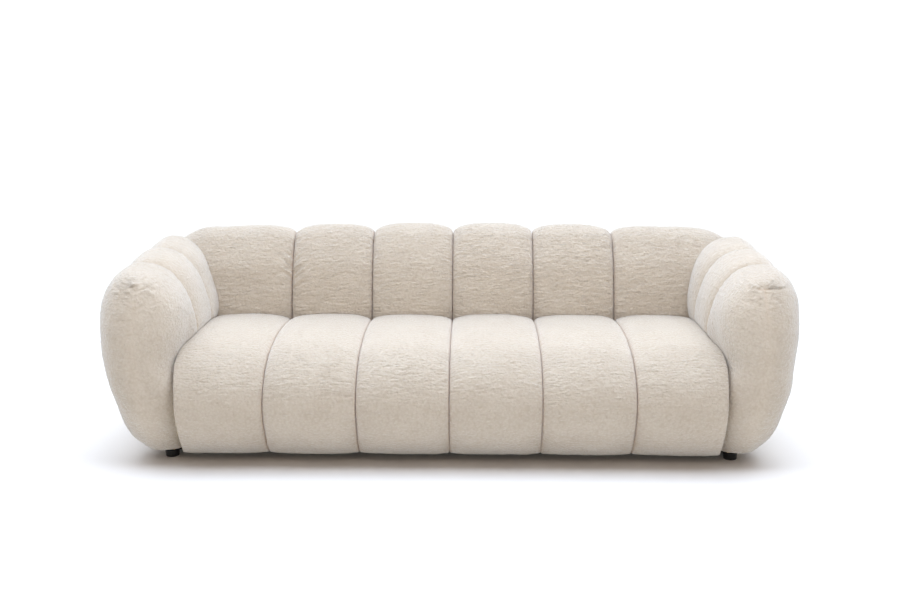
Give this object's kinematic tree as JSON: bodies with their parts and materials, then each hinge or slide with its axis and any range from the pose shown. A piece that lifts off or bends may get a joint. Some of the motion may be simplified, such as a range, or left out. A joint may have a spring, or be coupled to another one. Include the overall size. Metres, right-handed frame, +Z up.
{
  "type": "tuxedo sofa",
  "caption": "Three-seat tuxedo sofa in cream boucle: channel-tufted seat, back and equally tall rounded arms on low black feet.",
  "frame": {"origin": "on the floor under the middle of the sofa's overall box", "axes": "+X to the right of someone looking at the front, +Y from the front to the back, +Z up"},
  "size_m": [2.283, 0.9362, 0.7156],
  "materials": {
    "boucle": "cream boucle, looped and matt",
    "foam": "cut upholstery foam, matt",
    "felt": "needled grey felt",
    "timber": "planed birch, unfinished",
    "spring_steel": "oiled spring wire and zinc-plated bolts",
    "webbing": "woven black and brown webbing",
    "dust_cloth": "black non-woven dust cloth",
    "foot_plastic": "black moulded plastic, slightly satin"
  },
  "bodies": {
    "root": {"seat_channel_1": "boucle", "seat_channel_2": "boucle", "seat_channel_3": "boucle", "seat_channel_4": "boucle", "seat_channel_5": "boucle", "seat_channel_6": "boucle", "back_channel_1": "boucle", "back_channel_2": "boucle", "back_channel_3": "boucle", "back_channel_4": "boucle", "back_channel_5": "boucle", "back_channel_6": "boucle", "right_arm_channel_1": "boucle", "right_arm_channel_2": "boucle", "right_arm_channel_3": "boucle", "left_arm_channel_1": "boucle", "left_arm_channel_2": "boucle", "left_arm_channel_3": "boucle", "seat_foam": "foam", "back_foam": "foam", "right_arm_foam": "foam", "left_arm_foam": "foam", "spring_pad": "felt", "front_rail": "timber", "rear_rail": "timber", "right_side_rail": "timber", "left_side_rail": "timber", "right_joist": "timber", "left_joist": "timber", "back_bottom_rail": "timber", "back_top_rail": "timber", "back_centre_post": "timber", "back_right_post": "timber", "back_left_post": "timber", "right_arm_base_rail": "timber", "left_arm_base_rail": "timber", "right_arm_panel": "timber", "left_arm_panel": "timber", "right_arm_top_rail": "timber", "left_arm_top_rail": "timber", "seat_spring_1": "spring_steel", "seat_spring_2": "spring_steel", "seat_spring_3": "spring_steel", "seat_spring_4": "spring_steel", "seat_spring_5": "spring_steel", "seat_spring_6": "spring_steel", "back_webbing_1": "webbing", "back_webbing_2": "webbing", "back_webbing_3": "webbing", "back_webbing_4": "webbing", "right_arm_front_bolt": "spring_steel", "right_arm_rear_bolt": "spring_steel", "left_arm_front_bolt": "spring_steel", "left_arm_rear_bolt": "spring_steel", "dust_cover": "dust_cloth", "front_left_foot": "foot_plastic", "front_right_foot": "foot_plastic", "rear_left_foot": "foot_plastic", "rear_right_foot": "foot_plastic"}
  },
  "joints": []
}
